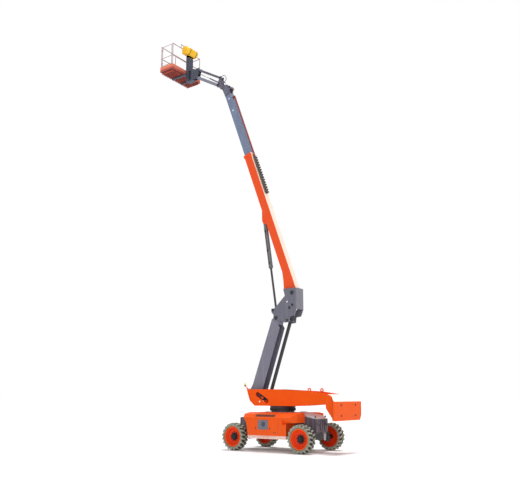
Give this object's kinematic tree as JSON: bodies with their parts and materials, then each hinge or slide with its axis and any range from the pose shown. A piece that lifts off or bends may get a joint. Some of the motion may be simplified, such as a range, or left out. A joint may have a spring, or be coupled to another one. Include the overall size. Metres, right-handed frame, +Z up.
{
  "type": "articulating boom lift",
  "caption": "Wheeled aerial work platform with a turning deck, parallelogram riser, knuckle, telescopic boom, jib and railed platform, all jointed.",
  "frame": {"origin": "on the ground under the middle of the machine's box in the pose of the picture", "axes": "+Z up, +X towards the counterweight and the steered axle, the platform reaching towards -X"},
  "size_m": [8.6806, 2.38, 17.7371],
  "materials": {
    "amber_lens": "gloss",
    "black_plastic": "matt",
    "black_rubber": "matt",
    "dark_steel": "satin",
    "grey_paint": "satin",
    "orange_paint": "gloss",
    "rail_grey": "satin",
    "red_tube": "satin",
    "steel_rod": "polished",
    "toe_red": "satin",
    "yellow_plastic": "matt"
  },
  "bodies": {
    "chassis": {"chassis_frame": "grey_paint", "slew_ring": "dark_steel", "drive_axle": "dark_steel", "steer_axle": "dark_steel", "pod_left": "orange_paint", "pod_right": "orange_paint", "power_pack": "dark_steel"},
    "door_left": {"pod_door_left": "orange_paint"},
    "door_right": {"pod_door_right": "orange_paint", "ground_panel": "black_plastic"},
    "steer_left": {"steer_knuckle_left": "dark_steel"},
    "steer_right": {"steer_knuckle_right": "dark_steel"},
    "tie_rod": {"tie_rod": "dark_steel"},
    "turntable": {"turntable_deck": "orange_paint", "deck_pins": "dark_steel", "turntable_side_left": "orange_paint", "turntable_side_right": "orange_paint", "counterweight": "orange_paint", "beacon_bracket": "orange_paint", "beacon": "amber_lens"},
    "riser": {"riser_arm": "grey_paint"},
    "tension_link": {"tension_link": "dark_steel"},
    "knuckle": {"knuckle": "grey_paint"},
    "riser_barrels": {"riser_barrels": "grey_paint"},
    "riser_rods": {"riser_rods": "steel_rod"},
    "boom": {"base_boom": "orange_paint", "carrier_tray": "dark_steel"},
    "boom_barrel": {"boom_barrel": "grey_paint"},
    "boom_rod": {"boom_rod": "steel_rod"},
    "fly": {"fly_boom": "grey_paint", "boom_head": "grey_paint", "carrier_tube": "red_tube"},
    "level_bracket": {"level_bracket": "grey_paint"},
    "level_barrel": {"level_barrel": "dark_steel"},
    "level_rod": {"level_rod": "steel_rod"},
    "jib_arm": {"jib_arm": "grey_paint"},
    "jib_link": {"jib_link": "grey_paint"},
    "jib_carrier": {"jib_carrier": "grey_paint"},
    "jib_barrel": {"jib_barrel": "dark_steel"},
    "jib_rod": {"jib_rod": "steel_rod"},
    "platform": {"platform_mast": "dark_steel", "platform_floor": "toe_red", "toe_board": "toe_red", "guard_rails": "rail_grey", "console": "yellow_plastic"},
    "gate": {"entry_gate": "rail_grey"},
    "wheel_drive_left": {"tyre_drive_left": "black_rubber", "rim_drive_left": "orange_paint", "hub_drive_left": "dark_steel"},
    "wheel_drive_right": {"tyre_drive_right": "black_rubber", "rim_drive_right": "orange_paint", "hub_drive_right": "dark_steel"},
    "wheel_steer_left": {"tyre_steer_left": "black_rubber", "rim_steer_left": "orange_paint", "hub_steer_left": "dark_steel"},
    "wheel_steer_right": {"tyre_steer_right": "black_rubber", "rim_steer_right": "orange_paint", "hub_steer_right": "dark_steel"}
  },
  "joints": [
    {"name": "slew", "type": "hinge", "parent": "chassis", "child": "turntable", "pos_m": [1.61031, 0, 1.5], "axis": [0, 0, 1], "continuous": true},
    {"name": "riser_lift", "type": "hinge", "parent": "turntable", "child": "riser", "pos_m": [0.51031, 0, 1.98], "axis": [0, -1, 0], "range_deg": [-63.5, 4]},
    {"name": "link_swing", "type": "hinge", "parent": "turntable", "child": "tension_link", "pos_m": [1.01031, 0, 1.86], "axis": [0, -1, 0], "range_deg": [-64.77, 5.27]},
    {"name": "knuckle_swing", "type": "hinge", "parent": "riser", "child": "knuckle", "pos_m": [1.49031, 0, 4.8], "axis": [0, -1, 0], "range_deg": [-5.27, 64.77]},
    {"name": "riser_barrel_swing", "type": "hinge", "parent": "turntable", "child": "riser_barrels", "pos_m": [1.86031, 0, 1.69], "axis": [0, -1, 0], "range_deg": [-7.37, 0.6]},
    {"name": "riser_rod_travel", "type": "slide", "parent": "riser_barrels", "child": "riser_rods", "axis": [-0.9591, 0, 0.2832], "range_m": [-0.23323, 0.01898]},
    {"name": "boom_lift", "type": "hinge", "parent": "knuckle", "child": "boom", "pos_m": [2.21531, 0, 5.705], "axis": [0, 1, 0], "range_deg": [-69.87, 4]},
    {"name": "boom_barrel_swing", "type": "hinge", "parent": "boom", "child": "boom_barrel", "pos_m": [0.82954, 0, 8.70111], "axis": [0, -1, 0], "range_deg": [-0.33, 4.35]},
    {"name": "boom_rod_travel", "type": "slide", "parent": "boom_barrel", "child": "boom_rod", "axis": [0.1422, 0, -0.9898], "range_m": [-1.20995, 0.09164]},
    {"name": "telescope", "type": "slide", "parent": "boom", "child": "fly", "axis": [-0.3442, 0, 0.9389], "range_m": [-2.9, 1.2]},
    {"name": "bracket_level", "type": "hinge", "parent": "fly", "child": "level_bracket", "pos_m": [-1.60984, 0, 15.24002], "axis": [0, 1, 0], "range_deg": [-5.4, 71.27]},
    {"name": "level_barrel_swing", "type": "hinge", "parent": "fly", "child": "level_barrel", "pos_m": [-0.95801, 0, 14.95813], "axis": [0, -1, 0], "range_deg": [-2.16, 28.54]},
    {"name": "level_rod_travel", "type": "slide", "parent": "level_barrel", "child": "level_rod", "axis": [-0.784, 0, 0.6207], "range_m": [-0.02266, 0.00172]},
    {"name": "jib_lift", "type": "hinge", "parent": "level_bracket", "child": "jib_arm", "pos_m": [-1.60984, 0, 15.24002], "axis": [0, 1, 0], "range_deg": [-65, 30]},
    {"name": "jib_link_swing", "type": "hinge", "parent": "level_bracket", "child": "jib_link", "pos_m": [-1.50825, 0, 15.57015], "axis": [0, 1, 0], "range_deg": [-66.3, 31.3]},
    {"name": "carrier_level", "type": "hinge", "parent": "jib_arm", "child": "jib_carrier", "pos_m": [-2.92131, 0, 16.02803], "axis": [0, 1, 0], "range_deg": [-31.3, 66.3]},
    {"name": "jib_barrel_swing", "type": "hinge", "parent": "level_bracket", "child": "jib_barrel", "pos_m": [-1.56484, 0, 15.35202], "axis": [0, -1, 0], "range_deg": [-31.22, 66.12]},
    {"name": "jib_rod_travel", "type": "slide", "parent": "jib_barrel", "child": "jib_rod", "axis": [-0.8301, 0, 0.5576], "range_m": [-0.1019, 0.04811]},
    {"name": "platform_turn", "type": "hinge", "parent": "jib_carrier", "child": "platform", "pos_m": [-3.19031, 0, 16.1931], "axis": [0, 0, 1], "range_deg": [-80, 80]},
    {"name": "gate_swing", "type": "hinge", "parent": "platform", "child": "gate", "pos_m": [-4.25031, -0.922, 17.0001], "axis": [0, 0, 1], "range_deg": [0, 85]},
    {"name": "door_left_lift", "type": "hinge", "parent": "chassis", "child": "door_left", "pos_m": [1.51031, 1.092, 1.13], "axis": [1, 0, 0], "range_deg": [0, 80]},
    {"name": "door_right_lift", "type": "hinge", "parent": "chassis", "child": "door_right", "pos_m": [1.51031, -1.092, 1.13], "axis": [-1, 0, 0], "range_deg": [0, 80]},
    {"name": "steer_left_turn", "type": "hinge", "parent": "chassis", "child": "steer_left", "pos_m": [3.04031, 0.8, 0.488], "axis": [0, 0, 1], "range_deg": [-32, 32]},
    {"name": "steer_right_turn", "type": "hinge", "parent": "chassis", "child": "steer_right", "pos_m": [3.04031, -0.8, 0.488], "axis": [0, 0, 1], "range_deg": [-32.5, 32.5]},
    {"name": "tie_rod_swing", "type": "hinge", "parent": "steer_left", "child": "tie_rod", "pos_m": [2.81031, 0.8, 0.422], "axis": [0, 0, 1], "range_deg": [-32.5, 32.5]},
    {"name": "wheel_drive_left_spin", "type": "hinge", "parent": "chassis", "child": "wheel_drive_left", "pos_m": [0.18031, 1.015, 0.488], "axis": [0, 1, 0], "continuous": true},
    {"name": "wheel_drive_right_spin", "type": "hinge", "parent": "chassis", "child": "wheel_drive_right", "pos_m": [0.18031, -1.015, 0.488], "axis": [0, 1, 0], "continuous": true},
    {"name": "wheel_steer_left_spin", "type": "hinge", "parent": "steer_left", "child": "wheel_steer_left", "pos_m": [3.04031, 1.015, 0.488], "axis": [0, 1, 0], "continuous": true},
    {"name": "wheel_steer_right_spin", "type": "hinge", "parent": "steer_right", "child": "wheel_steer_right", "pos_m": [3.04031, -1.015, 0.488], "axis": [0, 1, 0], "continuous": true}
  ],
  "couplings": [
    {"joint": "link_swing", "follows": "riser_lift", "ratio": 1},
    {"joint": "knuckle_swing", "follows": "riser_lift", "ratio": -1},
    {"joint": "riser_barrel_swing", "follows": "riser_lift", "ratio": 0.11381},
    {"joint": "riser_rod_travel", "follows": "riser_lift", "m_per_rad": 0.20631},
    {"joint": "boom_barrel_swing", "follows": "boom_lift", "ratio": -0.061092},
    {"joint": "boom_rod_travel", "follows": "boom_lift", "m_per_rad": 0.97275},
    {"joint": "bracket_level", "follows": "boom_lift", "ratio": -1},
    {"joint": "level_barrel_swing", "follows": "boom_lift", "ratio": -0.40049},
    {"joint": "level_rod_travel", "follows": "boom_lift", "m_per_rad": 0.01822},
    {"joint": "jib_link_swing", "follows": "jib_lift", "ratio": 1},
    {"joint": "carrier_level", "follows": "jib_lift", "ratio": -1},
    {"joint": "jib_barrel_swing", "follows": "jib_lift", "ratio": -0.99731},
    {"joint": "jib_rod_travel", "follows": "jib_lift", "m_per_rad": 0.088065},
    {"joint": "steer_right_turn", "follows": "steer_left_turn", "ratio": 1},
    {"joint": "tie_rod_swing", "follows": "steer_left_turn", "ratio": -1}
  ]
}
